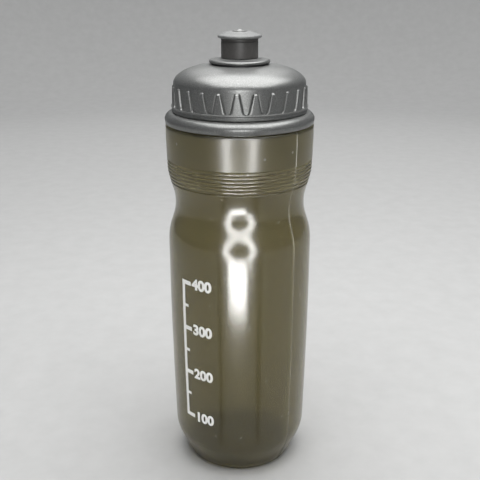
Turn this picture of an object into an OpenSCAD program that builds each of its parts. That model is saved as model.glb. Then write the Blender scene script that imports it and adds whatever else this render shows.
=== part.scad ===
// Sports squeeze bottle with a screw cap and a push-pull spout, in millimetres.
// +Z is up, the origin is the centre of the base on the surface it stands on, and -Y is the front.

/* [Bottle] */
// Height of the shoulder, where the neck starts
shoulder_z = 185; // [180:1:190]
// Radius of the head, between the rib rings and the shoulder
head_r = 37; // [36.5:0.1:37.5]
// Radius of the belly, the widest part below the waist
belly_r = 36.9; // [36:0.1:37.5]
// Radius of the waist that the fingers close round
waist_r = 33; // [32:0.1:34]
// Radius of the side wall just above the heel
heel_r = 35.6; // [35:0.1:36.4]
// Thickness of the blown wall
wall = 1.2; // [1:0.1:1.6]
// Number of rib rings below the head
rib_rings = 6; // [4:1:7]
// Depth of the grooves between the rib rings
rib_depth = 0.4; // [0.2:0.05:0.5]
// Height of the hollow under the base
base_hollow = 3.4; // [2:0.1:3.8]

/* [Neck and thread] */
// Outside radius of the neck
neck_r = 29.4; // [29:0.1:29.6]
// Height of the neck above the shoulder
neck_h = 16.5; // [16:0.1:16.8]
// Radius of the mouth
mouth_r = 27.6; // [27:0.1:27.8]
// Height that the cap climbs in one turn
thread_lead = 8; // [6:0.5:8]
// Number of thread starts
thread_starts = 2; // [2:1:2]
// Height of the thread ridge on the neck and in the cap
thread_h = 1.2; // [0.9:0.05:1.25]

/* [Cap] */
// Radius of the cap's side wall
skirt_r = 32.6; // [32.4:0.1:33]
// Radius of the thin band round the cap's lower edge
cap_rim_r = 33.8; // [33.6:0.1:34]
// Number of tapered grip ribs
grip_ribs = 24; // [12:1:26]
// Width of a grip rib at its foot
grip_foot_w = 5.8; // [4:0.1:6]
// Width of a grip rib at its top
grip_top_w = 1.4; // [1:0.1:2]
// Largest radius of the collar ring under the cap
collar_r = 37.3; // [37.1:0.1:37.6]

/* [Spout] */
// Radius of the valve base's flange
flange_r = 15; // [14.6:0.1:15.4]
// Outside radius of the spout barrel
barrel_r = 9; // [8.8:0.1:9.2]
// Radius of the bite tip's lip
lip_r = 10.7; // [10.4:0.1:11]
// How far the spout pulls up to open
spout_travel = 6; // [5:0.5:6]

/* [Hidden] */
$fn = 96;

// Heel: the wall turns in, runs straight down at a slant, and rounds under to the standing ring.
heel_top_z = 21;
heel_round = 21;
heel_slant = 24;
foot_round = 2.5;
stand_w = 2.6;
foot_z = foot_round * (1 - sin(heel_slant));
slant_top_r = heel_r - heel_round * (1 - cos(heel_slant));
slant_top_z = heel_top_z - heel_round * sin(heel_slant);
foot_r = slant_top_r - (slant_top_z - foot_z) * tan(heel_slant) - foot_round * cos(heel_slant);

// Heights up the side wall.
belly_low_z = 104;
belly_top_z = 127;
waist_low_z = 144.5;
waist_top_z = 146;
head_low_z = 164.5;
head_top_z = 177;
head_low_r = head_r - 0.4;
rib_top_z = shoulder_z - 17;
rib_pitch = 1.86;
rib_low_z = rib_top_z - rib_rings * rib_pitch;
edge_round = 0.8;

// Neck, from the shoulder up.
neck_top_z = shoulder_z + neck_h;
seat_r = 30.6;
seat_z = shoulder_z + 2;
rim_round = 0.5;
thread_sink = 0.5;
thread_sweep = 270;
thread_foot_w = 1.6;
thread_crest_w = 0.7;
thread_pitch = thread_lead / thread_starts;
neck_thread_z = neck_top_z - 8.2;

// Collar ring, which sits round the step at the foot of the neck.
collar_h = 6.2;
collar_bore_r = seat_r + 0.1;
collar_inner_top_r = 33.2;
collar_wall_z = 1.6;

// Cap.
cap_z = shoulder_z + 6.6;
cap_rim_h = 2.6;
skirt_bore_r = 31.2;
land_z = neck_top_z + 2;
land_r = 27.2;
dome_z = shoulder_z + 19.8;
dome_h = 9;
dome_flat_r = 10.4;
dome_inner_z = land_z + 1.5;
dome_inner_h = 7.1;
grip_top_z = shoulder_z + 18.9;
grip_face_r = skirt_r + 0.6;
grip_sink = 1;
grip_phase = -92.2;
stub_hole_r = 9.15;
seal_seat_r = 13.9;
seal_seat_z = dome_z + dome_h - 0.5;

// Gasket between the neck and the cap.
gasket_gap = 0.1;

// Valve base: flange, hollow post and the plug that closes the tip.
flange_z = shoulder_z + 29.5;
flange_h = 1.9;
flange_top_z = flange_z + flange_h;
stub_r = 9;
stub_z = flange_z - 4.6;
snap_r = 9.8;
post_r = 6.2;
post_bore_r = 4.9;
stop_r = 6.7;
stop_h = 0.8;
plug_r = 3.3;
plug_z = shoulder_z + 42;
plug_top_z = shoulder_z + 44.4;
plug_nub_r = 1.1;
stem_r = 2;
stem_z = flange_top_z + 3.6;
spoke_w = 1.2;
spoke_h = 4;

// Spout barrel and its seal.
barrel_z = flange_top_z + 0.3;
barrel_top_z = shoulder_z + 40.8;
barrel_bore_r = 7;
guide_r = 6.3;
guide_h = 2.5;
guide_top_z = barrel_z + guide_h;
ring_z = barrel_z + 1.25;
ring_wire_r = 0.6;
ring_mid_r = guide_r + ring_wire_r;
ring_groove_r = ring_mid_r + ring_wire_r + 0.1;
ring_groove_h = 1.4;
stop_z = guide_top_z + spout_travel + 0.3;
spigot_r = 8;
spigot_h = 1;
line_z = barrel_top_z - 1.2;
line_w = 0.25;

// Bite tip.
tip_hole_r = plug_r + 0.1;
tip_roof_z = plug_z + 0.2;
tip_top_z = shoulder_z + 44.9;
lip_z = shoulder_z + 42;

// Points on a circular arc about c, from angle a0 to a1, in n steps.
function arc(c, r, a0, a1, n) =
    [for (i = [0:n]) c + r * [cos(a0 + (a1 - a0) * i / n), sin(a0 + (a1 - a0) * i / n)]];

// Points on an upright ellipse about c, from angle a0 to a1, in n steps.
function bow(c, rx, rz, a0, a1, n) =
    [for (i = [0:n]) c + [rx * cos(a0 + (a1 - a0) * i / n), rz * sin(a0 + (a1 - a0) * i / n)]];

// Smooth step of a radius, from r0 at height z0 to r1 at height z1.
function ease(z, z0, z1, r0, r1) = r0 + (r1 - r0) * (1 - cos(180 * (z - z0) / (z1 - z0))) / 2;

// Radius of the side wall between the waist and the shoulder, without the rib rings.
function head_wall(z) =
    z <= head_low_z ? ease(z, waist_top_z, head_low_z, waist_r, head_low_r)
                    : head_low_r + (head_r - head_low_r) * (z - head_low_z) / (head_top_z - head_low_z);

// Depth of the groove pattern, deepest at the ends of each rib ring.
function rib_cut(z) = rib_depth * pow(cos(180 * (z - rib_low_z) / rib_pitch), 4);

// Side wall from the standing ring to the top of the belly, moved in by t.
function lower_wall(t) = concat(
    arc([foot_r, foot_round], foot_round - t, -90, -heel_slant, 4),
    arc([heel_r - heel_round, heel_top_z], heel_round - t, -heel_slant, 0, 5),
    [for (i = [1:4]) [heel_r - t + (belly_r - heel_r) * sin(90 * i / 4),
                      heel_top_z + (belly_low_z - heel_top_z) * i / 4]],
    [for (i = [0:8]) let(z = belly_top_z + (waist_low_z - belly_top_z) * i / 8)
        [ease(z, belly_top_z, waist_low_z, belly_r, waist_r) - t, z]]);

// Side wall from the waist to the head, with the rib rings cut by the share cut.
function upper_wall(t, cut) = concat(
    [for (i = [0:5]) let(z = waist_top_z + (rib_low_z - waist_top_z) * i / 6) [head_wall(z) - t, z]],
    [for (i = [0:rib_rings * 6]) let(z = rib_low_z + rib_pitch * i / 6)
        [head_wall(z) - t - cut * rib_cut(z), z]],
    [[head_r - t, head_top_z]]);

// Helical ridges with a trapezoid section: foot on radius r, crest thread_h further by side.
module thread_ridges(r, z, side, turn) {
    steps = 36;
    points = [for (i = [0:steps])
        let(a = thread_sweep * i / steps,
            lift = thread_lead * a / 360,
            grow = min(1, 0.25 + min(i, steps - i) / 4),
            crest = r + side * thread_h * grow,
            root = r - side * thread_sink)
        each [for (p = [[root, -thread_foot_w / 2], [crest, -thread_crest_w / 2],
                        [crest, thread_crest_w / 2], [root, thread_foot_w / 2]])
            [p[0] * cos(a), p[0] * sin(a), p[1] + lift]]];
    sides = [for (i = [0:steps - 1], k = [0:3])
        let(a = 4 * i + k, b = 4 * i + (k + 1) % 4)
        each side > 0 ? [[a, b, b + 4], [a, b + 4, a + 4]] : [[b, a, b + 4], [b + 4, a, a + 4]]];
    last = 4 * steps;
    ends = side > 0 ? [[3, 2, 1], [3, 1, 0], [last, last + 1, last + 2], [last, last + 2, last + 3]]
                    : [[1, 2, 3], [0, 1, 3], [last + 2, last + 1, last], [last + 3, last + 2, last]];
    for (start = [0:thread_starts - 1])
        rotate([0, 0, turn + 360 * start / thread_starts])
            translate([0, 0, z])
                polyhedron(points, concat(sides, ends), convexity = 6);
}

module bottle_body() {
    outer = concat(
        [[0, base_hollow]],
        bow([foot_r - stand_w - 7, 0], 7, base_hollow, 90, 0, 5),
        lower_wall(0),
        upper_wall(0, 1),
        arc([head_r - edge_round, shoulder_z - edge_round], edge_round, 0, 90, 3),
        [[seat_r, shoulder_z], [seat_r, seat_z], [neck_r, seat_z]],
        arc([neck_r - rim_round, neck_top_z - rim_round], rim_round, 0, 90, 3));
    inner = concat(
        [[0, base_hollow + wall]],
        bow([foot_r - stand_w - 7, wall], 7, base_hollow, 90, 30, 3),
        lower_wall(wall),
        upper_wall(wall, 0),
        arc([head_r - wall - edge_round, shoulder_z - wall - edge_round], edge_round, 0, 90, 2),
        [[mouth_r, shoulder_z - wall], [mouth_r, neck_top_z]]);
    color([0.35, 0.33, 0.25, 0.85]) {
        rotate_extrude()
            polygon(concat(outer, [for (i = [len(inner) - 1:-1:0]) inner[i]]));
        thread_ridges(neck_r, neck_thread_z, 1, 0);
    }
}

module shoulder_collar() {
    bead_z = shoulder_z + collar_wall_z;
    color([0.58, 0.60, 0.60])
        rotate_extrude()
            polygon(concat(
                [[collar_bore_r, shoulder_z]],
                [[head_r - 0.6, shoulder_z]],
                arc([head_r - 0.4, shoulder_z + 0.6], 0.6, -90, 0, 2),
                bow([collar_inner_top_r, bead_z + 1], collar_r - collar_inner_top_r,
                    collar_h - collar_wall_z - 1, 0, 90, 8),
                [[collar_bore_r, shoulder_z + collar_h]]));
}

module cap_gasket() {
    low = neck_top_z + gasket_gap;
    high = land_z - gasket_gap;
    color([0.85, 0.85, 0.82])
        rotate_extrude()
            polygon([[land_r + 0.3, low], [skirt_bore_r - 0.4, low],
                     [skirt_bore_r - 0.4, high], [land_r + 0.3, high]]);
}

// One grip rib: a tapered blade, wide at its foot, with a rounded top.
module grip_rib() {
    foot_z_rel = cap_rim_h - 0.3;
    rib_h = grip_top_z - cap_z - grip_top_w / 2;
    rotate([90, 0, 90])
        linear_extrude(height = grip_face_r - skirt_r + grip_sink)
            polygon(concat([[-grip_foot_w / 2, foot_z_rel], [grip_foot_w / 2, foot_z_rel]],
                           arc([0, rib_h], grip_top_w / 2, 0, 180, 4)));
}

module screw_cap() {
    inner_top_z = dome_inner_z + dome_inner_h;
    color([0.55, 0.57, 0.57]) {
        rotate_extrude()
            polygon(concat(
                [[skirt_bore_r, cap_z], [cap_rim_r - 0.4, cap_z]],
                arc([cap_rim_r - 0.4, cap_z + 0.4], 0.4, -90, 0, 2),
                arc([cap_rim_r - 0.4, cap_z + cap_rim_h - 0.4], 0.4, 0, 90, 2),
                [[skirt_r + 0.1, cap_z + cap_rim_h]],
                bow([dome_flat_r, dome_z], skirt_r - dome_flat_r, dome_h, 0, 76, 12),
                [[seal_seat_r, seal_seat_z + 0.26], [seal_seat_r, seal_seat_z]],
                [[stub_hole_r, seal_seat_z], [stub_hole_r, inner_top_z]],
                bow([dome_flat_r, dome_inner_z], land_r - dome_flat_r, dome_inner_h, 90, 0, 8),
                [[land_r, land_z], [skirt_bore_r, land_z]]));
        for (i = [0:grip_ribs - 1])
            rotate([0, 0, grip_phase + 360 * i / grip_ribs])
                translate([skirt_r - grip_sink, 0, cap_z])
                    grip_rib();
        thread_ridges(skirt_bore_r, neck_thread_z + thread_pitch / 2, -1, 0);
    }
}

module valve_seal() {
    color([0.12, 0.12, 0.12])
        rotate_extrude()
            polygon([[stub_r + 1, seal_seat_z], [seal_seat_r - 0.2, seal_seat_z],
                     [seal_seat_r - 0.2, flange_z], [stub_r + 1, flange_z]]);
}

module valve_base() {
    color([0.60, 0.62, 0.62]) {
        // Flange, snap stub and post in one turned shape.
        rotate_extrude()
            polygon(concat(
                [[post_bore_r, stub_z], [stub_r - 0.5, stub_z]],
                [[snap_r, stub_z + 1.2], [snap_r, stub_z + 1.6], [stub_r, stub_z + 2.1], [stub_r, flange_z]],
                [[flange_r - 0.9, flange_z]],
                arc([flange_r - 0.9, flange_z + 0.9], 0.9, -90, 80, 6),
                [[barrel_r + 1.6, flange_top_z], [post_r, flange_top_z]],
                [[post_r, stop_z], [stop_r, stop_z + 0.2], [stop_r, stop_z + stop_h - 0.3]],
                [[post_r, stop_z + stop_h], [post_bore_r, stop_z + stop_h]]));
        // Plug and its stem.
        rotate_extrude()
            polygon(concat(
                [[0, stem_z], [stem_r, stem_z], [stem_r, plug_z - 1]],
                [[plug_r, plug_z], [plug_r, plug_top_z - 0.3], [plug_r - 0.3, plug_top_z]],
                [[plug_nub_r + 0.8, plug_top_z - 0.5]],
                arc([0, plug_top_z - 0.2], plug_nub_r, 0, 90, 4)));
        // Three spokes carry the stem in the post's bore.
        for (i = [0:2])
            rotate([0, 0, 120 * i])
                translate([0, -spoke_w / 2, stem_z])
                    cube([post_bore_r + 0.5, spoke_w, spoke_h]);
    }
}

module spout_o_ring() {
    color([0.10, 0.10, 0.10])
        translate([0, 0, ring_z])
            rotate_extrude()
                translate([ring_mid_r, 0])
                    circle(r = ring_wire_r, $fn = 24);
}

module spout_barrel() {
    groove_low_z = ring_z - ring_groove_h / 2;
    groove_top_z = ring_z + ring_groove_h / 2;
    spigot_z = barrel_top_z + spigot_h;
    color([0.20, 0.20, 0.20])
        rotate_extrude()
            polygon([[guide_r, barrel_z], [barrel_r, barrel_z],
                     [barrel_r, line_z], [barrel_r - line_w, line_z + line_w],
                     [barrel_r, line_z + 2 * line_w], [barrel_r, barrel_top_z],
                     [spigot_r, barrel_top_z], [spigot_r, spigot_z], [barrel_bore_r, spigot_z],
                     [barrel_bore_r, guide_top_z], [guide_r, guide_top_z],
                     [guide_r, groove_top_z], [ring_groove_r, groove_top_z],
                     [ring_groove_r, groove_low_z], [guide_r, groove_low_z]]);
}

module bite_tip() {
    socket_z = barrel_top_z + spigot_h;
    color([0.62, 0.64, 0.64])
        rotate_extrude()
            polygon(concat(
                [[spigot_r, barrel_top_z], [barrel_r, barrel_top_z]],
                bow([barrel_r, lip_z], lip_r - barrel_r, lip_z - barrel_top_z, -60, 20, 5),
                bow([tip_hole_r + 1.2, lip_z - 0.8], lip_r - tip_hole_r - 1.4,
                    tip_top_z - lip_z + 0.8, 30, 90, 6),
                [[tip_hole_r + 0.4, tip_top_z - 0.1], [tip_hole_r, tip_top_z - 0.5]],
                [[tip_hole_r, tip_roof_z], [barrel_bore_r, tip_roof_z]],
                [[barrel_bore_r, socket_z], [spigot_r, socket_z]]));
}

bottle_body();
shoulder_collar();
cap_gasket();
screw_cap();
valve_seal();
valve_base();
spout_o_ring();
spout_barrel();
bite_tip();
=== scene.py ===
# %% [markdown]
# # A sports squeeze bottle
# The real object is a blow-moulded bottle with a moulded screw cap and a push-pull
# spout. Nearly every part is turned about one axis, so most pieces here are outlines
# swept round that axis, with ribs, threads and mould lines pressed into the sweep.

# %% Load the frame
import math

import bmesh
import bpy
import numpy as np
from mathutils import Matrix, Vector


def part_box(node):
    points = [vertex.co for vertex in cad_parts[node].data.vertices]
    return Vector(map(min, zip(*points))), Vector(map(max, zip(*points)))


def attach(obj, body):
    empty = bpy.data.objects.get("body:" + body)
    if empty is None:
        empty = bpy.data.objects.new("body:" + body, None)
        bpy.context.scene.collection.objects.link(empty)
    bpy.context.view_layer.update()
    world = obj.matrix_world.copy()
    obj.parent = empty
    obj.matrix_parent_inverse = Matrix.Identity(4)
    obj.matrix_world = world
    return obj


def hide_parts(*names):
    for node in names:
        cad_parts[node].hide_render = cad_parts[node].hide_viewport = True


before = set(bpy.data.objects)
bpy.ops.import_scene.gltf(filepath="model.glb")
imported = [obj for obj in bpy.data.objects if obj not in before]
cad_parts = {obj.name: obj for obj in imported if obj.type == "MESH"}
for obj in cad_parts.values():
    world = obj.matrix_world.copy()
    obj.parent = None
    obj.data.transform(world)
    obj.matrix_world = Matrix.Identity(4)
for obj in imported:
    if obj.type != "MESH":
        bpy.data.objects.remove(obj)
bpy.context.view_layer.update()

# %% [markdown]
# ## Measures
# Outlines are easiest to read in millimetres, as the moulds are drawn, so the sizes
# come off the CAD boxes in millimetres and go back to metres when a mesh is made.

# %% Sizes taken from the frame
MM = 0.001


def low(node):
    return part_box(node)[0].z / MM


def high(node):
    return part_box(node)[1].z / MM


def radius(node):
    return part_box(node)[1].x / MM


shoulder_z = low("shoulder_collar")
neck_top_z = high("bottle_body")
head_r = radius("bottle_body")
cap_low_z = low("screw_cap")
flange_z = high("valve_seal")
barrel_z = low("spout_barrel")
tip_top_z = high("bite_tip")
print("shoulder", shoulder_z, "neck top", neck_top_z, "head radius", head_r)

# %% [markdown]
# ## Camera
# The camera stands a little above the cap and looks down at the bottle from close by,
# so the base is seen much more from above than the spout is.

# %% Place the camera
camera_data = bpy.data.cameras.new("camera")
camera_data.sensor_width = 36
camera_data.lens = 57
camera_data.shift_x = 0.0007
camera = bpy.data.objects.new("camera", camera_data)
camera_far = 378 * MM
camera_up = (shoulder_z + 70.8) * MM
camera_pitch = math.radians(19.4)
camera.location = (0, -camera_far, camera_up)
camera.rotation_euler = (math.pi / 2 - camera_pitch, 0, 0)
bpy.context.scene.collection.objects.link(camera)
bpy.context.scene.camera = camera
print("camera at", [round(v, 3) for v in camera.location])

# %% [markdown]
# ## Turning an outline
# Blender's Spin and Screw tools sweep an outline too, but they give every column the
# same outline. Building the grid of points lets each piece press its own detail into
# the sweep before the faces are made. An outline that starts and ends on the axis
# closes with a point at each end; any other outline closes on itself.


# %% Helpers for outlines
def arc(centre, rx, rz, a0, a1, steps):
    """Points on an ellipse's arc, from angle a0 to a1 in degrees."""
    angles = np.radians(np.linspace(a0, a1, steps + 1))
    return [(centre[0] + rx * math.cos(a), centre[1] + rz * math.sin(a)) for a in angles]


def ease(z, z0, z1, r0, r1):
    """A smooth step from r0 at z0 to r1 at z1."""
    return r0 + (r1 - r0) * (1 - math.cos(math.pi * (z - z0) / (z1 - z0))) / 2


def rounded(corners, steps=4, loop=True):
    """Rounds an outline's corners (r, z, radius); an open run keeps its ends."""
    points = []
    for i, (r, z, size) in enumerate(corners):
        if not loop and i in (0, len(corners) - 1):
            points.append((r, z))
            continue
        here = np.array((r, z))
        before = np.array(corners[i - 1][:2]) - here
        after = np.array(corners[(i + 1) % len(corners)][:2]) - here
        len_before, len_after = np.linalg.norm(before), np.linalg.norm(after)
        if size <= 0 or len_before == 0 or len_after == 0:
            points.append((r, z))
            continue
        before, after = before / len_before, after / len_after
        half = math.acos(np.clip(before @ after, -1, 1)) / 2
        back = min(size / math.tan(half), 0.49 * len_before, 0.49 * len_after)
        start, end = here + before * back, here + after * back
        for t in np.linspace(0, 1, steps + 1):
            point = (1 - t) ** 2 * start + 2 * t * (1 - t) * here + t**2 * end
            points.append(tuple(point))
    return points


def stretch(points, step):
    """Adds points so that no straight run of an outline is longer than step."""
    filled = []
    for (r0, z0), (r1, z1) in zip(points[:-1], points[1:]):
        count = max(1, math.ceil(math.hypot(r1 - r0, z1 - z0) / step))
        filled += [(r0 + (r1 - r0) * k / count, z0 + (z1 - z0) * k / count) for k in range(count)]
    return filled + [points[-1]]


# %% [markdown]
# ## From outline to piece
# The turning helper repeats an outline at every angle, lets a rule move the points,
# and joins neighbours with four-sided faces. Shading is smooth, but edges sharper
# than the given angle stay crisp, as the parting edges of a moulding do.

# %% The turning helper
def placed(name, data):
    """A new object with this data, linked into the scene."""
    item = bpy.data.objects.new(name, data)
    bpy.context.scene.collection.objects.link(item)
    return item


def turned(name, outline, angles, press=None, sharp_angle=38):
    """Sweeps an outline in millimetres round the Z axis and returns the new object."""
    outline = np.array(outline, float)
    on_axis = outline[0, 0] < 1e-6 and outline[-1, 0] < 1e-6
    r = np.repeat(outline[:, :1], len(angles), axis=1)
    z = np.repeat(outline[:, 1:], len(angles), axis=1)
    a = np.repeat(np.array(angles)[None, :], len(outline), axis=0)
    if press:
        r, a, z = press(r, a, z)
    points = np.stack([r * np.cos(a), r * np.sin(a), z], axis=2) * MM
    rows, columns = len(outline), len(angles)
    grid = np.arange(rows * columns).reshape(rows, columns)
    below, above = (grid[:-1], grid[1:]) if on_axis else (grid, np.roll(grid, -1, axis=0))
    beside = np.roll(np.arange(columns), -1)
    quads = np.stack([below, below[:, beside], above[:, beside], above], axis=2).reshape(-1, 4)
    mesh = bpy.data.meshes.new(name)
    mesh.from_pydata(points.reshape(-1, 3).tolist(), [], quads.tolist())
    form = bmesh.new()
    form.from_mesh(mesh)
    if on_axis:
        bmesh.ops.remove_doubles(form, verts=form.verts, dist=1e-7)
    bmesh.ops.recalc_face_normals(form, faces=form.faces)
    form.to_mesh(mesh)
    form.free()
    mesh.shade_smooth()
    mesh.set_sharp_from_angle(angle=math.radians(sharp_angle))
    print(f"{name}: {len(mesh.vertices)} points, {len(mesh.polygons)} faces")
    return placed(name, mesh)


def even_angles(count):
    """Angles spaced evenly round the axis."""
    return np.linspace(0, 2 * math.pi, count, endpoint=False)


def from_form(name, form):
    """Turns a finished bmesh into an object in the scene."""
    mesh = bpy.data.meshes.new(name)
    form.to_mesh(mesh)
    form.free()
    return placed(name, mesh)


# %% [markdown]
# ## The screw thread
# The neck and the cap share a two-start thread. A ridge that climbs a set height each
# turn can be made with a Screw modifier, but then it is a separate skin. Here the
# ridge is pressed out of the turned grid: the height of each point above the nearest
# ridge line says how far the wall stands out.

# %% Thread measures and the ridge rule
thread_lead = 8.0
thread_starts = 2
thread_h = 1.2
thread_sweep = math.radians(270)
thread_run_out = math.radians(12)
thread_z = neck_top_z - 8.2
thread_foot = 0.8
thread_crest = 0.35


def thread_ridge(a, z, start_z):
    """How far a thread ridge stands out at each angle and height, in millimetres."""
    out = np.zeros_like(z)
    for start in range(thread_starts):
        turn = np.mod(a - 2 * math.pi * start / thread_starts, 2 * math.pi)
        gap = np.abs(z - start_z - thread_lead * turn / (2 * math.pi))
        rise = np.clip((thread_foot - gap) / (thread_foot - thread_crest), 0, 1)
        ends = np.clip(np.minimum(turn, thread_sweep - turn) / thread_run_out, 0, 1)
        out = np.maximum(out, thread_h * rise * ends)
    return out


print("thread:", thread_starts, "starts from", round(thread_z, 1), "mm up")

# %% [markdown]
# ## The bottle
# Blow moulding gives the bottle one thin wall, a flat head band, fine rib rings, a
# waist for the fingers, a belly that tapers a little to the base and a slanted heel
# that rounds under. A modelled cylinder with loop cuts would do for the main shape,
# but the ribs, heel and neck are exact when they are written down as one outline.

# %% Bottle measures
wall = 1.2
belly_r = head_r - 0.1
waist_r = 33.0
heel_r = 35.6
heel_round, heel_slant, foot_round = 21.0, 24.0, 2.5
heel_top_z, belly_low_z, belly_top_z = 21.0, 104.0, 127.0
waist_low_z, waist_top_z = 144.5, 146.0
belly_bend_z, belly_bend_power = 124.0, 1.23
head_low_z, head_top_z = 164.5, 177.0
head_low_r = head_r - 0.4
rib_rings, rib_pitch, rib_depth = 6, 1.86, 0.55
rib_top_z = shoulder_z - 17
rib_low_z = rib_top_z - rib_rings * rib_pitch
rib_edge = 0.45
rib_round = ((rib_pitch / 2) ** 2 + rib_depth**2) / (2 * rib_depth)
base_hollow = 3.4
slant = math.radians(heel_slant)
slant_top_r = heel_r - heel_round * (1 - math.cos(slant))
slant_top_z = heel_top_z - heel_round * math.sin(slant)
foot_z = foot_round * (1 - math.sin(slant))
foot_r = slant_top_r - (slant_top_z - foot_z) * math.tan(slant) - foot_round * math.cos(slant)
stand_r = foot_r - 2.6
seat_r, neck_r, mouth_r = 30.6, 29.4, 27.6
seat_h, plain_neck_h = 2, 6
hollow_round = 7
hollow_r = stand_r - hollow_round
edge = 0.9
print("standing ring from", round(stand_r, 2), "to", round(foot_r, 2), "mm")


# %% Rules for the bottle's wall
def side_r(z):
    """Radius of the side wall above the heel, without the rib rings."""
    if z < belly_low_z:
        return heel_r + (belly_r - heel_r) * math.sin(
            math.pi / 2 * (z - heel_top_z) / (belly_low_z - heel_top_z))
    if z < belly_bend_z:
        return belly_r
    if z < waist_low_z:
        share = ((z - belly_bend_z) / (waist_low_z - belly_bend_z)) ** belly_bend_power
        return ease(share, 0, 1, belly_r, waist_r)
    if z < waist_top_z:
        return waist_r
    if z < head_low_z:
        return ease(z, waist_top_z, head_low_z, waist_r, head_low_r)
    if z < head_top_z:
        return head_low_r + (head_r - head_low_r) * (z - head_low_z) / (head_top_z - head_low_z)
    return head_r


def rib_groove(z):
    """How far the wall lies below the crowns of the half-round rib rings."""
    if z < rib_low_z - rib_edge or z > rib_top_z + rib_edge:
        return 0.0
    if z < rib_low_z:
        return rib_depth * (1 - (rib_low_z - z) / rib_edge)
    if z > rib_top_z:
        return rib_depth * (1 - (z - rib_top_z) / rib_edge)
    from_crown = (z - rib_low_z) % rib_pitch - rib_pitch / 2
    return rib_round - math.sqrt(rib_round**2 - from_crown**2)


def side_wall(inset, grooves):
    """The wall from the standing ring to just under the shoulder, moved in by inset."""
    heights = np.concatenate([
        np.arange(heel_top_z + 2, belly_top_z - 2, 2.5),
        np.arange(belly_top_z - 1, rib_low_z - 1, 0.75),
        np.arange(rib_low_z - rib_pitch / 2, rib_top_z + rib_pitch / 2, rib_pitch / 12),
        np.arange(rib_top_z + 1.2, shoulder_z - 1.4, 1.6)])
    return (arc((foot_r, foot_round), foot_round - inset, foot_round - inset, -90, -heel_slant, 7)
            + arc((heel_r - heel_round, heel_top_z), heel_round - inset, heel_round - inset,
                  -heel_slant, 0, 9)
            + [(side_r(z) - inset - grooves * rib_groove(z), z) for z in heights])


# %% The bottle's outline
outside = (
    stretch([(0, base_hollow), (hollow_r, base_hollow)], 2)
    + arc((hollow_r, 0), hollow_round, base_hollow, 80, 8, 8)
    + [(stand_r + 0.3, 0), (foot_r - 0.4, 0)]
    + side_wall(0, 1)
    + arc((head_r - edge, shoulder_z - edge), edge, edge, 0, 90, 6)
    + rounded([(head_r - 3, shoulder_z, 0), (seat_r, shoulder_z, 0.3),
               (seat_r, shoulder_z + seat_h, 0.3), (neck_r, shoulder_z + seat_h, 0.3),
               (neck_r, shoulder_z + plain_neck_h, 0)], loop=False)
    + [(neck_r, z) for z in np.arange(shoulder_z + plain_neck_h + 0.2, neck_top_z - 0.7, 0.2)]
    + arc((neck_r - 0.6, neck_top_z - 0.6), 0.6, 0.6, 0, 90, 4))
inside = (
    stretch([(0, base_hollow + wall), (hollow_r, base_hollow + wall)], 3)
    + arc((hollow_r, wall), hollow_round, base_hollow, 80, 30, 5)
    + side_wall(wall, 0)[::2]
    + rounded([(head_r - wall, shoulder_z - 2.6, 0), (head_r - wall, shoulder_z - wall, 1.2),
               (mouth_r, shoulder_z - wall, 1.2), (mouth_r, neck_top_z - 0.4, 0)], loop=False)
    + arc((mouth_r + 0.4, neck_top_z - 0.4), 0.4, 0.4, 180, 90, 3))
bottle_outline = outside + inside[::-1]
print("bottle outline:", len(bottle_outline), "points")

# %% [markdown]
# ## The mould line and the sweep
# The mould's two halves meet in a fine raised line on opposite sides, which runs on
# across the base. It could be a thin separate strip, but then it would float or sink
# at the ribs. Here finer columns stand beside it, and the wall itself is pressed out,
# as the thread on the neck is.

# %% The bottle's sweep
seam_angle = math.radians(-43)
seam_high, seam_wide = 0.26, 0.22


def seam_angles(count):
    """Even columns, with finer ones beside both mould lines."""
    fine = np.radians([-1.3, -0.9, -0.65, -0.45, -0.3, -0.15, 0, 0.15, 0.3, 0.45, 0.65, 0.9, 1.3])
    coarse = even_angles(count) + seam_angle
    off_seam = np.abs(np.mod(coarse - seam_angle + math.pi / 2, math.pi) - math.pi / 2)
    sides = [fine + seam_angle, fine + seam_angle + math.pi]
    kept = coarse[off_seam > math.radians(1.45)]
    return np.sort(np.mod(np.concatenate([kept] + sides), 2 * math.pi))


def press_bottle(r, a, z):
    """Presses out the mould line and the neck's thread."""
    count = len(outside)
    run_r, run_z = np.gradient(r[:count, 0]), np.gradient(z[:count, 0])
    length = np.maximum(np.hypot(run_r, run_z), 1e-9)
    out_r, out_z = run_z / length, -run_r / length
    from_seam = np.abs(r[:count] * np.sin(a[:count] - seam_angle))
    waver = 1 + 0.25 * np.sin(z[:count] * 0.9) * np.sin(z[:count] * 0.23 + 1)
    line = seam_high * waver * np.exp(-((from_seam / seam_wide) ** 2))
    line *= z[:count] < shoulder_z - edge
    line *= np.hypot(r[:count], z[:count]) > 1
    r[:count] += line * out_r[:, None]
    z[:count] += line * out_z[:, None]
    z[:count] = np.maximum(z[:count], 0)
    on_neck = (np.abs(r[:count] - neck_r) < 0.01) & (z[:count] > shoulder_z + 3)
    r[:count] += on_neck * thread_ridge(a[:count], z[:count], thread_z)
    return r, a, z


bottle = turned("squeeze_bottle", bottle_outline, seam_angles(216), press_bottle)
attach(bottle, "bottle")
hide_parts("bottle_body")

# %% [markdown]
# ## The shoulder collar
# A silver ring rests on the shoulder, round the step at the foot of the neck. It is a
# half-round bead with a short wall under it. A torus would give the bead but not the
# flat seat. The outline leaves a narrow gap under the ring's outer edge, and that gap
# is the dark line that shows where the ring meets the bottle.

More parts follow.
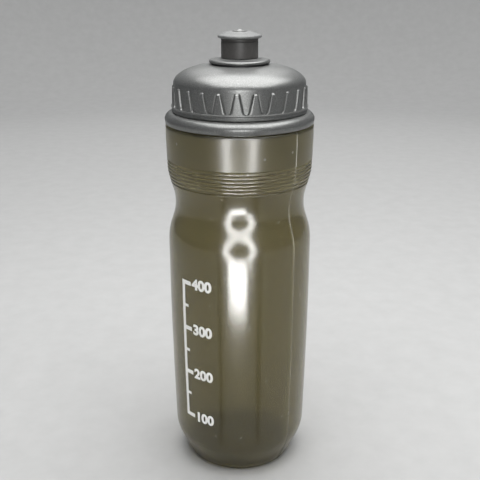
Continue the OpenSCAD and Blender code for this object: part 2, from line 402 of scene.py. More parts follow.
# %% Collar
collar_top_z = high("shoulder_collar")
collar_r = radius("shoulder_collar")
collar_bore_r = seat_r + 0.1
bead_z = shoulder_z + 2.4
bead_w = 4.2
foot_r_in, foot_gap = head_r - 2.4, 0.6
collar_outline = (
    rounded([(collar_bore_r, shoulder_z, 0), (foot_r_in, shoulder_z, 0),
             (foot_r_in, shoulder_z + foot_gap, 0), (head_r - 0.1, shoulder_z + foot_gap, 0.4),
             (collar_r - 0.05, bead_z, 0)], loop=False)
    + arc((collar_r - bead_w, bead_z), bead_w, collar_top_z - bead_z, 10, 90, 16)
    + rounded([(collar_r - bead_w - 0.8, collar_top_z, 0), (collar_bore_r, collar_top_z, 0.3),
               (collar_bore_r, shoulder_z + 0.3, 0)], loop=False))
collar = turned("neck_collar", collar_outline, even_angles(192))
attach(collar, "bottle")
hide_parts("shoulder_collar")

# %% [markdown]
# ## The cap
# The cap is a dome over a short skirt. Twenty-four tapered ribs stand on the skirt for
# grip: wide at the foot, where they run into the thin band round the rim, and narrow
# and rounded at the top. The next cells share these measures.

# %% Cap measures
cap_rim_r = radius("screw_cap")
skirt_r = 32.6
skirt_low_r = skirt_r + 0.1
skirt_bore_r = 31.2
rim_top_z = cap_low_z + 2.6
dome_z = shoulder_z + 19.8
dome_h = 9.0
dome_flat_r = 10.4
seat_hole_r = 9.15
seal_seat_r = 13.9
seal_seat_z = low("valve_seal")
land_z = neck_top_z + 2
land_r = 27.2
grip_ribs = 24
grip_phase = math.radians(-92.2)
grip_foot_half, grip_top_half = 2.85, 0.75
grip_top_z = shoulder_z + 18.9
grip_round_z = grip_top_z - grip_top_half
grip_low_r, grip_high_r = 33.5, 33.35
print("grip ribs:", grip_ribs, "from", round(rim_top_z, 1), "to", round(grip_top_z, 1), "mm")

# %% [markdown]
# ## Leaning columns for the grip ribs
# Booleans could add the ribs, but they leave ragged shading. Here each column of the
# sweep keeps its place on a rib's side or face at every height, so the columns lean
# as the ribs narrow, and each rib gets clean edges, a groove beside it and a flared
# foot. Over the dome the columns ease back to even spacing.

# %% Columns that lean with the ribs
gap_shares = [0.12, 0.37, 0.63, 0.88]
rib_columns = [(-1, -0.62), (-1, -0.28), (-1, -0.04), (-1, 0.12), (-0.6, 0), (0, 0),
               (0.6, 0), (1, -0.12), (1, 0.04), (1, 0.28), (1, 0.62)]
rib_rise = [0.0, -0.35, 0.85, 1, 1, 1, 1, 1, 0.85, -0.35, 0.0]
middle_column = rib_columns.index((0, 0))
foot_fillet = 1.3
top_fade = 0.85
least_rise = 0.15
sector = 2 * math.pi / grip_ribs
sector_columns = len(rib_columns) + len(gap_shares)
cap_angles = np.arange(grip_ribs * sector_columns) * sector / sector_columns
print("columns in a sector:", sector_columns)


def rib_half(z):
    """Half the width of a rib's face at a height, in millimetres."""
    slope = (grip_foot_half - grip_top_half) * (grip_round_z - z) / (grip_round_z - rim_top_z)
    straight = grip_top_half + max(0.0, slope)
    if z <= grip_round_z:
        rise = min(max(z - rim_top_z, 0.0), foot_fillet)
        flare = foot_fillet - math.sqrt(foot_fillet**2 - (foot_fillet - rise) ** 2)
        return min(straight, grip_foot_half) + flare
    return math.sqrt(max(0.0, grip_top_half**2 - (z - grip_round_z) ** 2))


def column_angles(height):
    """Angles of one sector's columns, from the middle of its rib, at a height."""
    on_rib = rim_top_z - 0.8 < height < grip_top_z + 0.01
    half = max(rib_half(height) if on_rib else 0.0, 0.02)
    offsets = [(side * half + step) / skirt_r for side, step in rib_columns]
    left, right = offsets[-1], sector + offsets[0]
    offsets += [left + (right - left) * share for share in gap_shares]
    even = [(k - middle_column) * sector / sector_columns for k in range(sector_columns)]
    lean = np.clip((dome_z + 3 - height) / 3, 0, 1) if height > grip_top_z else 1.0
    return np.array([lean * o + (1 - lean) * e for o, e in zip(offsets, even)])


def press_cap(r, a, z):
    """Leans the columns along the ribs, raises the ribs and presses in the thread."""
    for row in range(len(z)):
        height = z[row, 0]
        offsets = column_angles(height)
        a[row] = grip_phase + np.concatenate([rib * sector + offsets for rib in range(grip_ribs)])
        if row < cap_outer_rows and rim_top_z - 0.35 < height < grip_top_z + 0.05:
            share = (height - rim_top_z) / (grip_top_z - rim_top_z)
            face = grip_low_r + (grip_high_r - grip_low_r) * min(max(share, 0), 1)
            fade = min(1.0, max(0.0, (grip_top_z + 0.05 - height) / top_fade))
            raised = np.tile(rib_rise + [0.0] * len(gap_shares), grip_ribs) * fade
            r[row] += raised * np.maximum(face - r[row], least_rise * (raised > 0))
    inner = np.abs(r - skirt_bore_r) < 0.01
    r -= inner * thread_ridge(a, z, thread_z + thread_lead / thread_starts / 2)
    return r, a, z


# %% [markdown]
# ## The cap's outline
# Rows stand closer together at the ribs' rounded tops, where the outline of each rib
# turns quickly. Inside are the land that holds the gasket, the threaded bore and a
# hollow dome, which show when the cap is off.

# %% Cap outline and sweep
skirt_rows = list(np.arange(rim_top_z + 1.3, grip_round_z, 0.5)) + [
    grip_round_z + grip_top_half * s for s in (0, 0.25, 0.45, 0.62, 0.76, 0.87, 0.95, 1.0)]
skirt_rows += [grip_top_z + 0.12, grip_top_z + 0.3]
rim_band_r = cap_rim_r - 0.35
cap_outside = (
    rounded([(skirt_bore_r + 0.8, cap_low_z, 0), (cap_rim_r - 0.1, cap_low_z, 0.2),
             (cap_rim_r, cap_low_z + 0.35, 0.15), (rim_band_r, cap_low_z + 1.2, 0.2),
             (rim_band_r, rim_top_z - 0.8, 0.1), (cap_rim_r, rim_top_z - 0.65, 0.1),
             (cap_rim_r, rim_top_z, 0.5), (skirt_low_r, rim_top_z, 0.6),
             (skirt_low_r, rim_top_z + 1.1, 0)], 6, loop=False)
    + [(skirt_r + 0.1 * (grip_top_z - z) / (grip_top_z - rim_top_z), z) for z in skirt_rows]
    + arc((dome_flat_r, dome_z), skirt_r - dome_flat_r, dome_h, 2, 78, 40)
    + rounded([(seal_seat_r + 0.4, seal_seat_z + 0.42, 0), (seal_seat_r, seal_seat_z + 0.3, 0.1),
               (seal_seat_r, seal_seat_z, 0.1), (seat_hole_r, seal_seat_z, 0.2),
               (seat_hole_r, seal_seat_z - 1.3, 0)], loop=False))
cap_outer_rows = len(cap_outside)
dome_inner_z = land_z + 1.5
dome_inner_h = 7.1
cap_inside = (
    arc((dome_flat_r, dome_inner_z), land_r - dome_flat_r, dome_inner_h, 90, 0, 16)
    + rounded([(land_r, land_z + 0.8, 0), (land_r, land_z, 0.3), (skirt_bore_r, land_z, 0.3),
               (skirt_bore_r, land_z - 1.6, 0)], loop=False)
    + [(skirt_bore_r, z) for z in np.arange(land_z - 1.8, cap_low_z + 0.7, -0.2)]
    + rounded([(skirt_bore_r, cap_low_z + 0.6, 0), (skirt_bore_r, cap_low_z, 0.3),
               (skirt_bore_r + 0.6, cap_low_z, 0)], loop=False))
cap = turned("grip_cap", cap_outside + cap_inside, cap_angles, press_cap, 42)
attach(cap, "lid")
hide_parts("screw_cap")

# %% [markdown]
# ## The valve base
# One moulding snaps into the hole in the dome. Its flange covers the hole and its
# hollow post guides the spout. The post ends in a small stop ridge, which shows when
# the spout is up. All of it is one outline, since it is one moulding.

# %% Flange, stub and post
flange_r = radius("valve_base")
flange_top_z = flange_z + 1.9
post_r, post_bore_r = 6.2, 4.9
stub_r, stub_z = 9.0, low("valve_base")
stop_z = barrel_z + 2.5 + 6.3
flange_lip_z = flange_top_z + 0.14
flange = turned("spout_flange", rounded([
    (post_bore_r, stub_z, 0.3), (stub_r - 0.5, stub_z, 0.3), (9.8, stub_z + 1.3, 0.3),
    (stub_r, stub_z + 2.1, 0.3), (stub_r, flange_z, 0.2), (flange_r - 0.2, flange_z, 0.5),
    (flange_r, flange_z + 0.9, 0.7), (flange_r - 0.7, flange_top_z - 0.35, 0.6),
    (10.3, flange_top_z - 0.1, 0.3), (10.0, flange_lip_z, 0.15), (9.2, flange_lip_z, 0.15),
    (post_r, flange_top_z, 0.3), (post_r, stop_z, 0.2), (6.7, stop_z + 0.25, 0.15),
    (6.6, stop_z + 0.6, 0.15), (post_bore_r + 0.4, stop_z + 0.8, 0.2),
    (post_bore_r, stop_z + 0.6, 0.2)]), even_angles(144))
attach(flange, "lid")
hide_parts("valve_base")

# %% [markdown]
# ## The plug in the drinking hole
# The same moulding carries a plug on a stem, held in the post by three spokes so that
# drink can pass round it. The plug ends in a small disc with a nub, and a groove under
# the disc leaves the dark line inside the hole. The spokes are bevelled bars.

# %% Plug, stem and spokes
stem_z = flange_top_z + 3.6
hole_rim_z = tip_top_z - 0.35
nub_top_z = high("valve_base")
stem_r, plug_r, disc_r, groove_r = 2.0, 3.3, 2.8, 2.2
plug = turned("spout_plug", [(0, stem_z)] + rounded([
    (stem_r, stem_z, 0.3), (stem_r, hole_rim_z - 3.6, 0.6), (plug_r, hole_rim_z - 2.6, 0.3),
    (plug_r, hole_rim_z - 1.9, 0.25), (groove_r, hole_rim_z - 1.4, 0.3),
    (groove_r, hole_rim_z - 0.8, 0.15), (disc_r, hole_rim_z - 0.7, 0.15),
    (disc_r, hole_rim_z - 0.2, 0.25), (1.5, hole_rim_z + 0.1, 0.3),
    (0.9, hole_rim_z + 0.45, 0.3), (0.3, nub_top_z - 0.02, 0.2)]) + [(0, nub_top_z)],
    even_angles(64))
spoke_size = (3.6, 1.2, 4.0)
spoke_mid_r, spoke_mid_z = 3.4, stem_z + 2.2
spoke_form = bmesh.new()
for turn in range(3):
    spoke = bmesh.ops.create_cube(spoke_form, size=MM)["verts"]
    bmesh.ops.scale(spoke_form, vec=spoke_size, verts=spoke)
    bmesh.ops.translate(spoke_form, vec=(spoke_mid_r * MM, 0, spoke_mid_z * MM), verts=spoke)
    third = Matrix.Rotation(2 * math.pi * turn / 3, 3, "Z")
    bmesh.ops.rotate(spoke_form, cent=(0, 0, 0), matrix=third, verts=spoke)
spokes = from_form("plug_spokes", spoke_form)
spoke_bevel = spokes.modifiers.new("soft_edges", "BEVEL")
spoke_bevel.width = 0.25 * MM
spoke_bevel.segments = 3
for piece in (plug, spokes):
    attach(piece, "lid")
    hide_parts("valve_base")

# %% [markdown]
# ## The spout
# The dark barrel slides on the post. A fine line runs round it just under the soft
# tip. It is a shallow groove in the outline, not a dark stripe in the material, so it
# catches the light as the real one does. A second groove inside holds the seal ring.

# %% Barrel
barrel_r = radius("spout_barrel")
barrel_top_z = low("bite_tip")
line_z = barrel_top_z - 1.2
line_r = barrel_r - 0.28
ring_z = barrel_z + 1.25
slot_r, slot_half = 7.6, 0.7
guide_r, guide_h = 6.3, 2.5
barrel_bore_r, tip_seat_r = 7.0, 8.0
barrel = turned("spout_sleeve", rounded([
    (guide_r, barrel_z, 0.15), (barrel_r, barrel_z, 0.3), (barrel_r, line_z - 0.05, 0.06),
    (line_r, line_z + 0.06, 0.05), (line_r, line_z + 0.16, 0.05),
    (barrel_r, line_z + 0.3, 0.06), (barrel_r, barrel_top_z, 0.05), (tip_seat_r, barrel_top_z, 0),
    (tip_seat_r, barrel_top_z + 1, 0), (barrel_bore_r, barrel_top_z + 1, 0),
    (barrel_bore_r, barrel_z + guide_h, 0.2), (guide_r, barrel_z + guide_h, 0.15),
    (guide_r, ring_z + slot_half, 0.05), (slot_r, ring_z + slot_half, 0.05),
    (slot_r, ring_z - slot_half, 0.05), (guide_r, ring_z - slot_half, 0.05)]),
    even_angles(128))
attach(barrel, "spout")
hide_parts("spout_barrel")

# %% [markdown]
# ## The soft tip
# The tip is a shallow cone of soft silver plastic with a lip that the teeth can hold.
# The rim of its drinking hole dips at the front and back, which shows the plug. A
# sculpted dip would do, but a rule in the sweep keeps the rim smooth and even.

# %% Soft tip
lip_r = radius("bite_tip")
lip_round = 0.75
lip_z = barrel_top_z + 1.05
hole_r = 3.8
hole_dip = 1.3
dip_outer_r, dip_reach = 5.8, 2.3
tip_floor_z = barrel_top_z + 1.4


def press_tip(r, a, z):
    """Dips the rim of the drinking hole at the front and back."""
    near_hole = np.clip((dip_outer_r - r) / dip_reach, 0, 1) * (z > barrel_top_z + 2)
    z -= hole_dip * near_hole**2 * np.sin(a) ** 2
    return r, a, z


tip = turned("soft_tip", rounded([
    (barrel_bore_r, barrel_top_z + 1, 0), (tip_seat_r, barrel_top_z + 1, 0),
    (tip_seat_r, barrel_top_z, 0), (barrel_r + 0.05, barrel_top_z, 0.1),
    (lip_r - lip_round, lip_z - lip_round, 0.2)], 4, loop=False)
    + arc((lip_r - lip_round, lip_z), lip_round, lip_round, -80, 62, 12)
    + stretch(rounded([
        (lip_r - 0.6, lip_z + lip_round, 0), (7.0, hole_rim_z - 0.75, 1.4),
        (hole_r + 0.4, hole_rim_z, 0.35), (hole_r, hole_rim_z - 0.5, 0.25),
        (hole_r, tip_floor_z, 0.2), (barrel_bore_r, tip_floor_z, 0)], 6, loop=False), 0.5),
    even_angles(128), press_tip)
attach(tip, "spout")
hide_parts("bite_tip")

# %% [markdown]
# ## The seals
# Three seals hardly show, but two of them come into sight when the cap is off or the
# spout is up. They are small turned rings with eased edges.

# %% Gasket, flange seal and spout ring
gasket_low, gasket_high = low("cap_gasket"), high("cap_gasket")
gasket_r, gasket_bore_r = radius("cap_gasket"), land_r + 0.3
gasket = turned("cap_seal_ring", rounded([
    (gasket_bore_r, gasket_low, 0.3), (gasket_r, gasket_low, 0.3), (gasket_r, gasket_high, 0.3),
    (gasket_bore_r, gasket_high, 0.3)]), even_angles(160))
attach(gasket, "lid_seal")
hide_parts("cap_gasket")
seal_r, seal_bore_r = 13.7, 10.0
flange_seal = turned("flange_seal_ring", rounded([
    (seal_bore_r, seal_seat_z, 0.2), (seal_r, seal_seat_z, 0.2),
    (seal_r, flange_z, 0.3), (seal_bore_r, flange_z, 0.2)]), even_angles(96))
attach(flange_seal, "lid")
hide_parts("valve_seal")
o_ring_r, o_ring_thick = 6.9, 0.6
o_ring = turned("sleeve_ring", arc((o_ring_r, ring_z), o_ring_thick, o_ring_thick, 0, 345, 23),
                even_angles(96))
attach(o_ring, "spout_seal")
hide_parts("spout_o_ring")

# %% [markdown]
# ## Printed volume scale
# The bottle carries a white print low on its left side. A plain fill scale stands
# there: bars at every 50 millilitres and numbers at every hundred. The heights come
# from the volume of the bottle's own inside, so the scale is true.

# %% Heights of the fill levels
level_step = 0.5
inner_wall = side_wall(wall, 0)
fill_heights = np.arange(wall + base_hollow, head_top_z, level_step)
inner_radii = np.interp(fill_heights, [p[1] for p in inner_wall], [p[0] for p in inner_wall])
filled_ml = np.cumsum(math.pi * inner_radii**2 * level_step) / 1000
levels = {ml: float(np.interp(ml, filled_ml, fill_heights)) for ml in range(50, 500, 50)}
print("fill levels in mm:", {ml: round(z, 1) for ml, z in levels.items()})

# %% [markdown]
# ## Ink that follows the wall
# The print is a thin ink layer, so it has its own mesh rather than a picture on the
# wall. It is drawn flat in millimetres, cut into narrow strips, and then bent round
# the outline. A shrinkwrap could do this, but would slide the edges about.


# %% Bend flat print round the wall
print_angle = math.radians(-90 - 38)
print_lift = 0.05


def bend_print(form):
    """Bends a flat layer, drawn in millimetres as across and up, round the bottle."""
    for vert in form.verts:
        across, up = vert.co.x, vert.co.y
        r = side_r(up) + print_lift
        turn = print_angle + across / belly_r
        vert.co = (r * math.cos(turn) * MM, r * math.sin(turn) * MM, up * MM)


def cut_strips(form, step):
    """Cuts a flat layer into narrow strips across and up."""
    for axis, normal in enumerate([(1, 0, 0), (0, 1, 0)]):
        spots = [v.co[axis] for v in form.verts]
        for k in range(math.floor(min(spots) / step), math.ceil(max(spots) / step) + 1):
            spot = [k * step * way for way in normal]
            everything = form.verts[:] + form.edges[:] + form.faces[:]
            bmesh.ops.bisect_plane(form, geom=everything, plane_co=spot, plane_no=normal)


# %% Bars and numbers
def add_bar(form, left, right, low_edge, high_edge):
    """Draws one printed bar."""
    corners = [(left, low_edge), (right, low_edge), (right, high_edge), (left, high_edge)]
    form.faces.new([form.verts.new((x, y, 0)) for x, y in corners])


def add_number(form, text, left, middle, size):
    """Draws one printed number in Blender's own plain face, a little thickened."""
    curve = bpy.data.curves.new("number", "FONT")
    curve.body = text
    curve.size = size
    curve.offset = 0.045 * size
    curve.align_y = "CENTER"
    holder = placed("number", curve)
    bpy.context.view_layer.update()
    graph = bpy.context.evaluated_depsgraph_get()
    flat = bpy.data.meshes.new_from_object(holder.evaluated_get(graph))
    for vert in flat.vertices:
        vert.co = (vert.co.x + left, vert.co.y + middle, 0)
    form.from_mesh(flat)
    bpy.data.objects.remove(holder)
    bpy.data.meshes.remove(flat)


# %% [markdown]
# ## The scale itself
# One upright bar joins the level marks. The marks at the hundreds are longer and
# heavier and carry a number. Everything goes into one mesh, so that cutting and
# bending treat it as a single layer of ink.

# %% Print the scale
first_ml, last_ml = 100, 400
spine_left, spine_right = -8.6, -6.6
long_right, long_half = -2.2, 1.1
short_right, short_half = -4.2, 0.75
number_left, number_size = -1.3, 7.6
strip = 0.8
scale_form = bmesh.new()
add_bar(scale_form, spine_left, spine_right, levels[first_ml] - long_half, levels[last_ml] + long_half)
for ml in range(first_ml, last_ml + 1, 50):
    is_hundred = ml % 100 == 0
    bar_right, bar_half = (long_right, long_half) if is_hundred else (short_right, short_half)
    add_bar(scale_form, spine_right, bar_right, levels[ml] - bar_half, levels[ml] + bar_half)
    if is_hundred:
        add_number(scale_form, str(ml), number_left, levels[ml], number_size)
cut_strips(scale_form, strip)
bend_print(scale_form)
scale = from_form("fill_scale", scale_form)
scale_ink = scale.modifiers.new("ink_depth", "SOLIDIFY")
scale_ink.thickness = 0.04 * MM
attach(scale, "bottle")
print("print faces:", len(scale.data.polygons))

# %% [markdown]
# ## Materials
# Each finish is a small node tree on one Principled shader. Colour changes come from
# noise in object space, which stays with the piece in every view and needs no
# unwrapping. Painted pictures would need a map for each piece.


# %% Basic node helpers
def new_finish(name, **sockets):
    """Makes a material and sets its Principled shader's sockets."""
    material = bpy.data.materials.new(name)
    material.use_nodes = True
    shader = material.node_tree.nodes["Principled BSDF"]
    for socket, value in sockets.items():
        shader.inputs[socket.replace("_", " ")].default_value = value
    return material, material.node_tree, shader


def place_node(tree):
    """Gives the place on the object, in metres."""
    return tree.nodes.new("ShaderNodeTexCoord").outputs["Object"]


def noise(tree, where, scale_per_m, detail=4, rough=0.6):
    """Gives soft noise from 0 to 1."""
    node = tree.nodes.new("ShaderNodeTexNoise")
    node.inputs["Scale"].default_value = scale_per_m
    node.inputs["Detail"].default_value = detail
    node.inputs["Roughness"].default_value = rough
    tree.links.new(where, node.inputs["Vector"])
    return node.outputs["Fac"]


def ramp(tree, value, stops):
    """Turns a value into a colour; stops are (place, colour)."""
    node = tree.nodes.new("ShaderNodeValToRGB")
    while len(node.color_ramp.elements) < len(stops):
        node.color_ramp.elements.new(0.5)
    for element, (place, colour) in zip(node.color_ramp.elements, stops):
        element.position = place
        element.color = (*colour, 1)
    tree.links.new(value, node.inputs["Fac"])
    return node.outputs["Color"]


def spread(tree, value, low_value, high_value, low_from=0, high_from=1, way="LINEAR"):
    """Maps one range to another, from 0..1 unless told otherwise."""
    node = tree.nodes.new("ShaderNodeMapRange")
    node.interpolation_type = way
    node.inputs["From Min"].default_value = low_from
    node.inputs["From Max"].default_value = high_from
    node.inputs["To Min"].default_value = low_value
    node.inputs["To Max"].default_value = high_value
    tree.links.new(value, node.inputs["Value"])
    return node.outputs["Result"]


# %% Bumps and whole finishes
def bump(tree, height, depth_m, shader):
    """Roughens the surface by a small depth."""
    node = tree.nodes.new("ShaderNodeBump")
    node.inputs["Strength"].default_value = 1
    node.inputs["Distance"].default_value = depth_m
    tree.links.new(height, node.inputs["Height"])
    tree.links.new(node.outputs["Normal"], shader.inputs["Normal"])


def dress(name, pieces, grain, stops, rough_grain=None, rough_span=None, **sockets):
    """Makes a finish with uneven colour and roughness, and puts it on some pieces."""
    material, tree, shader = new_finish(name, **sockets)
    where = place_node(tree)
    tree.links.new(ramp(tree, noise(tree, where, *grain), stops), shader.inputs["Base Color"])
    if rough_grain:
        haze = spread(tree, noise(tree, where, *rough_grain), *rough_span)
        tree.links.new(haze, shader.inputs["Roughness"])
    for piece in pieces:
        piece.data.materials.append(material)
    print(f"{name}: {len(pieces)} pieces, {len(tree.nodes)} nodes")
    return tree, where, shader


# %% [markdown]
# ## Marks in the smoked wall
# The moulded wall carries sparse pale specks and a fine raised line where the mould
# halves met, with a pale painted highlight laid along that line, and its neck is duller
# than its belly. Each mark is a rule on the place in the object, so it needs no painted
# map and stays sharp.


# %% Specks and mixing
def maths(tree, kind, operation, first, second=None):
    """One sum on one or two values; a tuple is a fixed value."""
    node = tree.nodes.new(kind)
    node.operation = operation
    tree.links.new(first, node.inputs[0])
    if isinstance(second, tuple):
        node.inputs[1].default_value = second
    elif second:
        tree.links.new(second, node.inputs[1])
    return node.outputs["Value"]


def speckle(tree, where, cells_per_m, dot_share, skip_share):
    """Makes sparse round dots: 1 inside a dot, 0 outside, with many cells left empty."""
    cell = tree.nodes.new("ShaderNodeTexVoronoi")
    cell.inputs["Scale"].default_value = cells_per_m
    tree.links.new(where, cell.inputs["Vector"])
    white, black = (1, 1, 1), (0, 0, 0)
    dot = ramp(tree, cell.outputs["Distance"], [(dot_share, white), (dot_share * 1.6, black)])
    pick = ramp(tree, cell.outputs["Color"], [(skip_share, black), (skip_share + 0.02, white)])
    return maths(tree, "ShaderNodeMath", "MULTIPLY", dot, pick)


def blend_colour(tree, factor, first, second):
    """Mixes a colour output with a second, fixed colour."""
    node = tree.nodes.new("ShaderNodeMix")
    node.data_type = "RGBA"
    tree.links.new(factor, node.inputs[0])
    tree.links.new(first, node.inputs[6])
    node.inputs[7].default_value = (*second, 1)
    return node.outputs[2]


# %% Mould line highlight and duller neck
def mould_line(tree, where, half_width_m):
    """Gives a thin mask along the plane where the two mould halves meet, for a painted highlight."""
    facing = (math.sin(seam_angle), -math.cos(seam_angle), 0)
    across = maths(tree, "ShaderNodeVectorMath", "DOT_PRODUCT", where, facing)
    off = maths(tree, "ShaderNodeMath", "ABSOLUTE", across)
    return spread(tree, off, 0.8, 0, half_width_m, half_width_m * 1.8)


def duller_above(tree, where, low_z, high_z, rough, extra):
    """Adds to a roughness above a height."""
    parts = tree.nodes.new("ShaderNodeSeparateXYZ")
    tree.links.new(where, parts.inputs["Vector"])
    rise = spread(tree, parts.outputs["Z"], 0, extra, low_z, high_z)
    return maths(tree, "ShaderNodeMath", "ADD", rough, rise)


# %% [markdown]
# ## Smoked soft plastic
# The body is soft translucent polyethylene, tinted olive grey. The shader lets most
# light through and bends it as plastic does. A volume would cloud it more truly, but
# it costs much more time and shows little more through so thin a wall.

# %% Smoked soft plastic
dust_per_m, dust_dot, dust_skip = 150, 0.075, 0.5
highlight_line_half_m = 0.0003
neck_from_m, neck_to_m, neck_extra = 0.160, 0.168, 0.09
smoked, tree, shader = new_finish("smoked_polyethylene", Transmission_Weight=0.9, IOR=1.5)
where = place_node(tree)
smoke_stops = [(0.3, (0.342, 0.310, 0.182)), (0.7, (0.362, 0.326, 0.198))]
tint = ramp(tree, noise(tree, where, 22, 2), smoke_stops)
dust = speckle(tree, where, dust_per_m, dust_dot, dust_skip)
dusty = blend_colour(tree, dust, tint, (0.99, 0.98, 0.95))
# The pale colour along the mould line is a painted highlight over the raised seam.
line = mould_line(tree, where, highlight_line_half_m)
tree.links.new(blend_colour(tree, line, dusty, (0.95, 0.93, 0.84)), shader.inputs["Base Color"])
haze = spread(tree, noise(tree, where, 60, 4), 0.17, 0.22)
haze = duller_above(tree, where, neck_from_m, neck_to_m, haze, neck_extra)
tree.links.new(haze, shader.inputs["Roughness"])
bump(tree, noise(tree, where, 620, 4, 0.7), 0.000011, shader)
bottle.data.materials.append(smoked)
print("smoked wall nodes:", len(tree.nodes))

# %% [markdown]
# ## Silver flake plastic
# The collar, cap and flange are moulded in grey plastic full of fine metal flake. It
# is mostly metallic with a fairly dull, broken shine. A clear coat was possible, but
# the real parts have no glossy skin, so fine noise in colour and height is enough.

# %% Silver flake plastic
flake_stops = [(0.3, (0.135, 0.137, 0.134)), (0.55, (0.208, 0.211, 0.206)),
               (0.75, (0.345, 0.35, 0.34))]
tree, where, shader = dress("silver_flake_plastic", (collar, cap, flange, plug, spokes),
                            (3000, 2, 0.7), flake_stops, (300, 4), (0.32, 0.40), Metallic=0.8)
bump(tree, noise(tree, where, 2200, 3, 0.65), 0.000012, shader)

# %% [markdown]
# ## Soft silver tip
# The tip is a rubbery plastic with less flake, so it is duller and softer in its
# highlights than the cap. It has its own finish because the two really are two
# materials.

# %% Soft silver tip
tip_stops = [(0.3, (0.122, 0.125, 0.124)), (0.7, (0.205, 0.21, 0.207))]
tree, where, shader = dress("soft_silver_elastomer", (tip,),
                            (2200, 2, 0.7), tip_stops, (400, 3), (0.38, 0.5), Metallic=0.35)
bump(tree, noise(tree, where, 1500, 3), 0.00003, shader)

# %% [markdown]
# ## Dark barrel
# The sliding barrel is plain dark grey polypropylene with a fine mould grain. Noise
# in its colour, roughness and height keeps it from looking painted.

# %% Dark plastic
dark_stops = [(0.3, (0.044, 0.042, 0.040)), (0.7, (0.062, 0.059, 0.056))]
tree, where, shader = dress("dark_polypropylene", (barrel,),
                            (700, 4), dark_stops, (500, 4), (0.40, 0.50))
bump(tree, noise(tree, where, 1600, 3), 0.00002, shader)

# %% [markdown]
# ## Seals
# The seal ring and the spout ring are black rubber, and the cap gasket is milky
# silicone that lets a little light in. Subsurface light gives it that depth, where
# plain colour would look like chalk.

# %% Rubber and silicone
rubber_stops = [(0.3, (0.010, 0.010, 0.010)), (0.7, (0.022, 0.022, 0.022))]
dress("black_nitrile", (flange_seal, o_ring), (900, 4), rubber_stops, (700, 3), (0.5, 0.65))
milky_stops = [(0.3, (0.62, 0.62, 0.58)), (0.7, (0.74, 0.74, 0.70))]
dress("milky_silicone", (gasket,), (500, 4), milky_stops, (600, 3), (0.35, 0.5),
      Subsurface_Weight=0.3, Subsurface_Scale=0.002)

# %% [markdown]
# ## White ink
# The print is opaque white ink, slightly worn. A noise between clean and greyed white
# breaks it up, which a flat white would not do.

# %% White ink
worn_stops = [(0.30, (0.60, 0.60, 0.57)), (0.45, (0.84, 0.84, 0.82))]
dress("white_ink", (scale,), (1300, 4, 0.7), worn_stops, (800, 3), (0.35, 0.5))

# %% [markdown]
# ## Floor and surround
# The bottle stands on a round pale floor that curves up into a pale wall all the way
# round, so no edge shows behind it from any side. The wall glows a little, since the
# lamps are aimed at the bottle. A single backdrop sheet would do for one view only.

# %% Floor
floor_r, cove_r, wall_high_z = 1.15, 0.5, 2.2
glow_from_r, glow_most = 0.4, 0.28


def bowl(name, profile):
    """Makes a smooth surface turned about the Z axis, in metres."""
    form = bmesh.new()
    turns = even_angles(96)
    rings = [[form.verts.new((r * math.cos(t), r * math.sin(t), z)) for t in turns]
             for r, z in profile]
    for inner, outer in zip(rings[:-1], rings[1:]):
        for k in range(len(turns)):
            form.faces.new((inner[k - 1], outer[k - 1], outer[k], inner[k]))
    if profile[0][0] < 0.02:
        form.faces.new(rings[0])
    piece = from_form(name, form)
    piece.data.shade_smooth()
    return piece


floor = bowl("floor", [(r, 0.0) for r in (0.01, 0.2, 0.5, 0.8, floor_r)])
cove = [(floor_r + cove_r * math.sin(t), cove_r - cove_r * math.cos(t))
        for t in np.linspace(0, math.pi / 2, 16)]
surround = bowl("surround", cove + [(floor_r + cove_r, wall_high_z)])
surround.visible_glossy = False
surround.visible_diffuse = False
print("floor radius:", floor_r, "m")

# %% Pale paint
pale, tree, shader = new_finish("pale_floor", Roughness=0.9, Specular_IOR_Level=0.2)
where = place_node(tree)
pale_stops = [(0.3, (0.46, 0.46, 0.455)), (0.7, (0.49, 0.49, 0.485))]
tint = ramp(tree, noise(tree, where, 60, 3), pale_stops)
tree.links.new(tint, shader.inputs["Base Color"])
tree.links.new(tint, shader.inputs["Emission Color"])
reach = maths(tree, "ShaderNodeVectorMath", "LENGTH", where)
glow_rise = spread(tree, reach, 0, glow_most, glow_from_r, floor_r, "SMOOTHSTEP")
tree.links.new(glow_rise, shader.inputs["Emission Strength"])
for piece in (floor, surround):
    piece.data.materials.append(pale)
print("pale paint nodes:", len(tree.nodes))

# %% [markdown]
# ## Lights
# One large soft light hangs overhead and lights most of the scene. A weak light
# behind keeps the far side of the floor even. A small light in front reaches every
# piece but the bottle, whose wall would show it as a hard spot.


# %% Lights
def soft_light(name, place, target, size, watts, shape="SQUARE"):
    """Hangs a soft light and turns it towards a target."""
    data = bpy.data.lights.new(name, "AREA")
    data.shape = shape
    data.size = size
    data.energy = watts
    lamp = placed(name, data)
    lamp.location = place
    x, y, z = np.array(target) - np.array(place)
    lamp.rotation_euler = (math.atan2(math.hypot(x, y), -z), 0, math.atan2(-x, y))
    print(f"{name}: {watts} W at {place}")
    return lamp


def lit_only(lamp, group_name, pieces):
    """Lets a lamp light some pieces and nothing else."""
    group = bpy.data.collections.new(group_name)
    for piece in pieces:
        group.objects.link(piece)
    lamp.light_linking.receiver_collection = group


middle = (0, 0, shoulder_z * 0.6 * MM)
soft_light("overhead", (0.08, 0, 0.95), (0, 0, 0), 1.15, 17.5)
soft_light("rear", (0, 0.95, 1.0), middle, 0.8, 2.5)
front_light = soft_light("front", (0.04, -0.95, 0.28), middle, 0.45, 3.4, "DISK")
lit_only(front_light, "lit_from_front",
         (collar, cap, flange, plug, spokes, barrel, tip, gasket, flange_seal, o_ring, scale))

# %% [markdown]
# ## Ring lamp
# A broad ring with a gap stands low in front of the bottle. Its reflection draws the
# round highlights that show the hollow of the waist and the shoulder of the belly. An
# area light can't have this shape, so the ring is a glowing mesh. Its clear half lets
# other reflections through.

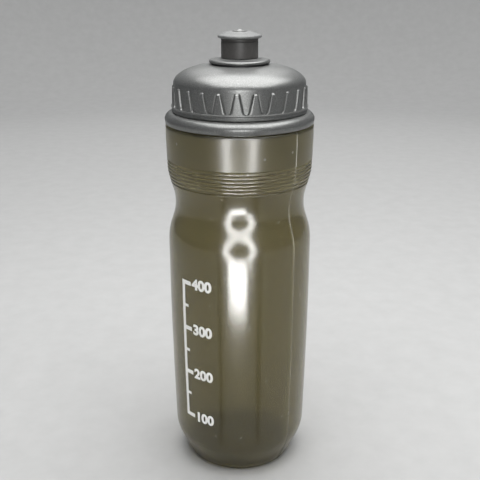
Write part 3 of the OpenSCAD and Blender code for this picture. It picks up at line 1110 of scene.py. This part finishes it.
# %% Ring lamp
lamp_inner, lamp_outer = 0.071, 0.120
lamp_place = (0, -0.265, 0.121)
lamp_gap = math.radians(-58)
lamp_strength = 22
panel_y, panel_left, panel_right, panel_low, panel_high = 0.065, -0.058, 0.036, -0.104, -0.061
lamp_form = bmesh.new()
lamp_turns = np.radians(np.linspace(5, 355, 72)) + lamp_gap
lamp_rows = [[lamp_form.verts.new((r * math.cos(t), 0, r * math.sin(t))) for t in lamp_turns]
             for r in (lamp_inner, lamp_outer)]
for k in range(len(lamp_turns) - 1):
    lamp_form.faces.new((lamp_rows[0][k], lamp_rows[1][k], lamp_rows[1][k + 1], lamp_rows[0][k + 1]))
panel = [(panel_left, panel_low), (panel_right, panel_low), (panel_right, panel_high),
         (panel_left, panel_high)]
lamp_form.faces.new([lamp_form.verts.new((x, panel_y, z)) for x, z in panel])
ring_lamp = from_form("ring_lamp", lamp_form)
ring_lamp.location = lamp_place
print("ring lamp faces:", len(ring_lamp.data.polygons))


# %% Glow of the ring lamp
def only_reflected(piece):
    """Leaves a piece visible in reflections only."""
    piece.visible_camera = False
    piece.visible_diffuse = False
    piece.visible_transmission = False
    piece.visible_shadow = False


glow = bpy.data.materials.new("lamp_glow")
glow.use_nodes = True
nodes, links = glow.node_tree.nodes, glow.node_tree.links
nodes.clear()
glow_light = nodes.new("ShaderNodeEmission")
glow_light.inputs["Strength"].default_value = lamp_strength
glow_clear = nodes.new("ShaderNodeBsdfTransparent")
glow_sum = nodes.new("ShaderNodeAddShader")
glow_out = nodes.new("ShaderNodeOutputMaterial")
links.new(glow_light.outputs["Emission"], glow_sum.inputs[0])
links.new(glow_clear.outputs["BSDF"], glow_sum.inputs[1])
links.new(glow_sum.outputs["Shader"], glow_out.inputs["Surface"])
ring_lamp.data.materials.append(glow)
only_reflected(ring_lamp)
lit_only(ring_lamp, "lit_by_ring", (bottle,))
print("glow strength:", lamp_strength)

# %% [markdown]
# ## Lamp hood
# Two black sheets fan out from the bottle past the lamp, one on each side. They show
# only in reflections, where they hide the pale room and keep the wall beside the
# highlights dark. A darker room would do this too, but would spoil the ground.

# %% Lamp hood
near_x, near_y, near_z = 0.018, -0.045, 0.176
far_x, far_y, far_z = 0.125, -0.262, 0.152
hood_form = bmesh.new()
for side in (-1, 1):
    sheet = [(side * near_x, near_y, 0.0), (side * far_x, far_y, 0.0),
             (side * far_x, far_y, far_z), (side * near_x, near_y, near_z)]
    hood_form.faces.new([hood_form.verts.new(corner) for corner in sheet])
lamp_hood = from_form("lamp_hood", hood_form)
hood_stops = [(0.3, (0.004, 0.004, 0.004)), (0.7, (0.008, 0.008, 0.008))]
dress("hood_black", (lamp_hood,), (60, 2), hood_stops, Roughness=1.0, Specular_IOR_Level=0.0)
only_reflected(lamp_hood)
print("hood sheets:", len(lamp_hood.data.polygons))

# %% [markdown]
# ## World and view
# A faint, slightly blue world fills the deepest shadows. The plain "Standard" view is
# used because it leaves the pale floor and the dark plastics at the tones set above.

# %% World and view
world_strength = 0.1
world = bpy.data.worlds.new("studio")
bpy.context.scene.world = world
world.use_nodes = True
background = world.node_tree.nodes["Background"]
background.inputs["Color"].default_value = (0.9, 0.95, 1.0, 1)
background.inputs["Strength"].default_value = world_strength
bpy.context.scene.view_settings.view_transform = "Standard"
print("world strength:", world_strength)
